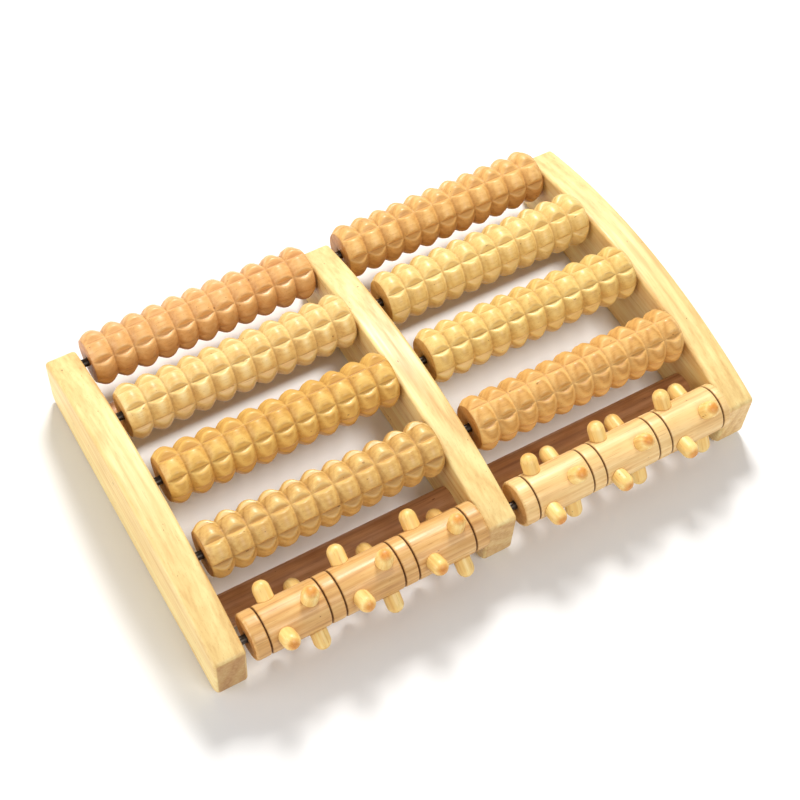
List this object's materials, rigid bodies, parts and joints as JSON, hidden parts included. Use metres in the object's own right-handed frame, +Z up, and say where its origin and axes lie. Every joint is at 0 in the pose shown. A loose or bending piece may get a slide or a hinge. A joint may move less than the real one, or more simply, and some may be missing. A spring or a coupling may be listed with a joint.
{
  "type": "foot massage roller",
  "caption": "Wooden foot massage roller: arched rails joined by dowels carry two bays of free-spinning rollers, carved ones behind and pegged ones in front.",
  "frame": {"origin": "on the floor plane under the middle rail, midway between the front and back ends of the rails", "axes": "+X runs along the rollers to the right, +Y to the back (away from the pegged rollers), +Z up"},
  "size_m": [0.28, 0.1931, 0.0527],
  "materials": {
    "left_rail": "clear satin lacquer",
    "middle_rail": "clear satin lacquer",
    "right_rail": "clear satin lacquer",
    "cross_dowel": "clear satin lacquer",
    "left_knobbed_roller_1": "clear satin lacquer",
    "left_knobbed_roller_2": "clear satin lacquer",
    "left_knobbed_roller_3": "clear satin lacquer",
    "left_knobbed_roller_4": "clear satin lacquer",
    "right_knobbed_roller_1": "clear satin lacquer",
    "right_knobbed_roller_2": "clear satin lacquer",
    "right_knobbed_roller_3": "clear satin lacquer",
    "right_knobbed_roller_4": "clear satin lacquer",
    "left_peg_roller": "clear satin lacquer",
    "right_peg_roller": "clear satin lacquer",
    "left_pegs": "clear satin lacquer",
    "right_pegs": "clear satin lacquer",
    "axle_steel": "bare drawn steel"
  },
  "bodies": {
    "frame": {"left_rail": "left_rail", "middle_rail": "middle_rail", "right_rail": "right_rail", "front_cross_dowel": "cross_dowel", "rear_cross_dowel": "cross_dowel", "axle_row_1": "axle_steel", "axle_row_2": "axle_steel", "axle_row_3": "axle_steel", "axle_row_4": "axle_steel", "axle_row_5": "axle_steel"},
    "left_knobbed_roller_1": {"left_knobbed_roller_1": "left_knobbed_roller_1"},
    "left_knobbed_roller_2": {"left_knobbed_roller_2": "left_knobbed_roller_2"},
    "left_knobbed_roller_3": {"left_knobbed_roller_3": "left_knobbed_roller_3"},
    "left_knobbed_roller_4": {"left_knobbed_roller_4": "left_knobbed_roller_4"},
    "left_peg_roller": {"left_peg_roller": "left_peg_roller", "left_pegs_1": "left_pegs", "left_pegs_2": "left_pegs", "left_pegs_3": "left_pegs", "left_pegs_4": "left_pegs", "left_pegs_5": "left_pegs", "left_pegs_6": "left_pegs"},
    "right_knobbed_roller_1": {"right_knobbed_roller_1": "right_knobbed_roller_1"},
    "right_knobbed_roller_2": {"right_knobbed_roller_2": "right_knobbed_roller_2"},
    "right_knobbed_roller_3": {"right_knobbed_roller_3": "right_knobbed_roller_3"},
    "right_knobbed_roller_4": {"right_knobbed_roller_4": "right_knobbed_roller_4"},
    "right_peg_roller": {"right_peg_roller": "right_peg_roller", "right_pegs_1": "right_pegs", "right_pegs_2": "right_pegs", "right_pegs_3": "right_pegs", "right_pegs_4": "right_pegs", "right_pegs_5": "right_pegs", "right_pegs_6": "right_pegs"}
  },
  "joints": [
    {"name": "left_roller_1_spin", "type": "hinge", "parent": "frame", "child": "left_knobbed_roller_1", "pos_m": [-0.065, 0.0801, 0.02758], "axis": [1, 0, 0], "continuous": true},
    {"name": "left_roller_2_spin", "type": "hinge", "parent": "frame", "child": "left_knobbed_roller_2", "pos_m": [-0.065, 0.04005, 0.03634], "axis": [1, 0, 0], "continuous": true},
    {"name": "left_roller_3_spin", "type": "hinge", "parent": "frame", "child": "left_knobbed_roller_3", "pos_m": [-0.065, 0, 0.0392], "axis": [1, 0, 0], "continuous": true},
    {"name": "left_roller_4_spin", "type": "hinge", "parent": "frame", "child": "left_knobbed_roller_4", "pos_m": [-0.065, -0.04005, 0.03634], "axis": [1, 0, 0], "continuous": true},
    {"name": "left_peg_roller_spin", "type": "hinge", "parent": "frame", "child": "left_peg_roller", "pos_m": [-0.065, -0.0801, 0.02758], "axis": [1, 0, 0], "continuous": true},
    {"name": "right_roller_1_spin", "type": "hinge", "parent": "frame", "child": "right_knobbed_roller_1", "pos_m": [0.067, 0.0801, 0.02758], "axis": [1, 0, 0], "continuous": true},
    {"name": "right_roller_2_spin", "type": "hinge", "parent": "frame", "child": "right_knobbed_roller_2", "pos_m": [0.067, 0.04005, 0.03634], "axis": [1, 0, 0], "continuous": true},
    {"name": "right_roller_3_spin", "type": "hinge", "parent": "frame", "child": "right_knobbed_roller_3", "pos_m": [0.067, 0, 0.0392], "axis": [1, 0, 0], "continuous": true},
    {"name": "right_roller_4_spin", "type": "hinge", "parent": "frame", "child": "right_knobbed_roller_4", "pos_m": [0.067, -0.04005, 0.03634], "axis": [1, 0, 0], "continuous": true},
    {"name": "right_peg_roller_spin", "type": "hinge", "parent": "frame", "child": "right_peg_roller", "pos_m": [0.067, -0.0801, 0.02758], "axis": [1, 0, 0], "continuous": true}
  ]
}
